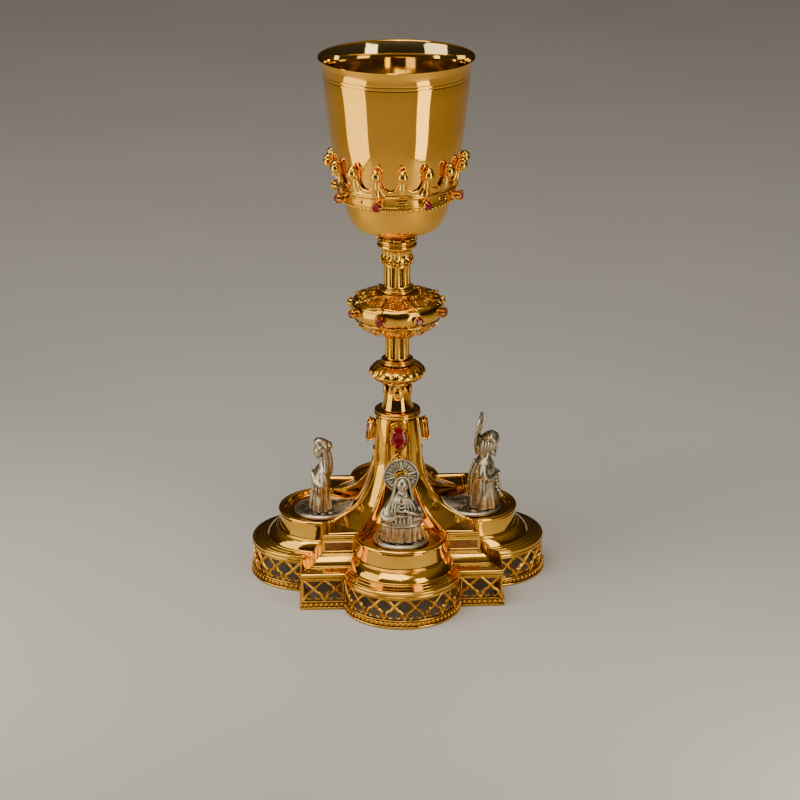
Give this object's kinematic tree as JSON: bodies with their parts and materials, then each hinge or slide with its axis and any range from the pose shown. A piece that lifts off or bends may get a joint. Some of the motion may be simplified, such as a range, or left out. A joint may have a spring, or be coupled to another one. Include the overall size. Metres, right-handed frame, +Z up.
{
  "type": "chalice",
  "caption": "Neo-Gothic gilt chalice: flared cup in a jewelled crown, knopped stem, and a four-lobed foot with a pierced gallery and small silver figures.",
  "frame": {"origin": "centre of the foot's underside, on the surface that the chalice stands on", "axes": "+Z up along the stem's axis; -Y is the front, one lobe of the foot points along each of +X, -X, +Y and -Y"},
  "size_m": [0.1756, 0.1756, 0.31],
  "materials": {
    "polished_gilding": "mirror-polished gold plating on brass sheet",
    "chased_gilding": "satin gold plating on cast and chased brass, darker in the recesses",
    "oxidised_silver": "cast silver, darkened in the recesses and rubbed bright on the high spots",
    "ruby": "faceted red stones",
    "tie_steel": "plain turned steel"
  },
  "bodies": {
    "root": {"base_bead_wire": "chased_gilding", "base_flange": "polished_gilding", "calyx_rosette": "chased_gilding", "capital": "chased_gilding", "crown_band": "chased_gilding", "crown_bead_wire": "chased_gilding", "crown_ruby_1": "ruby", "crown_ruby_2": "ruby", "crown_ruby_3": "ruby", "crown_ruby_4": "ruby", "crown_ruby_5": "ruby", "crown_ruby_6": "ruby", "crown_ruby_7": "ruby", "crown_ruby_8": "ruby", "cup": "polished_gilding", "cup_boss": "polished_gilding", "drum_ring": "polished_gilding", "figure_back": "oxidised_silver", "figure_front": "oxidised_silver", "figure_left": "oxidised_silver", "figure_plate_back": "oxidised_silver", "figure_plate_front": "oxidised_silver", "figure_plate_left": "oxidised_silver", "figure_plate_right": "oxidised_silver", "figure_right": "oxidised_silver", "foot_collet_back": "chased_gilding", "foot_collet_front": "chased_gilding", "foot_collet_left": "chased_gilding", "foot_collet_right": "chased_gilding", "foot_cornice": "polished_gilding", "foot_hood": "polished_gilding", "foot_ruby_back": "ruby", "foot_ruby_front": "ruby", "foot_ruby_left": "ruby", "foot_ruby_right": "ruby", "gallery": "chased_gilding", "halo_back": "oxidised_silver", "halo_front": "oxidised_silver", "halo_right": "oxidised_silver", "knop_gem_belt": "polished_gilding", "knop_lower_shell": "chased_gilding", "knop_ruby_1": "ruby", "knop_ruby_2": "ruby", "knop_ruby_3": "ruby", "knop_ruby_4": "ruby", "knop_ruby_5": "ruby", "knop_ruby_6": "ruby", "knop_ruby_7": "ruby", "knop_ruby_8": "ruby", "knop_top_ring": "polished_gilding", "knop_upper_shell": "chased_gilding", "leaf_collar": "chased_gilding", "lower_shaft": "chased_gilding", "lower_shaft_ring": "polished_gilding", "neck": "polished_gilding", "neck_plate": "polished_gilding", "tie_nut": "tie_steel", "tie_rod": "tie_steel", "tie_washer": "tie_steel", "upper_shaft": "chased_gilding"}
  },
  "joints": []
}
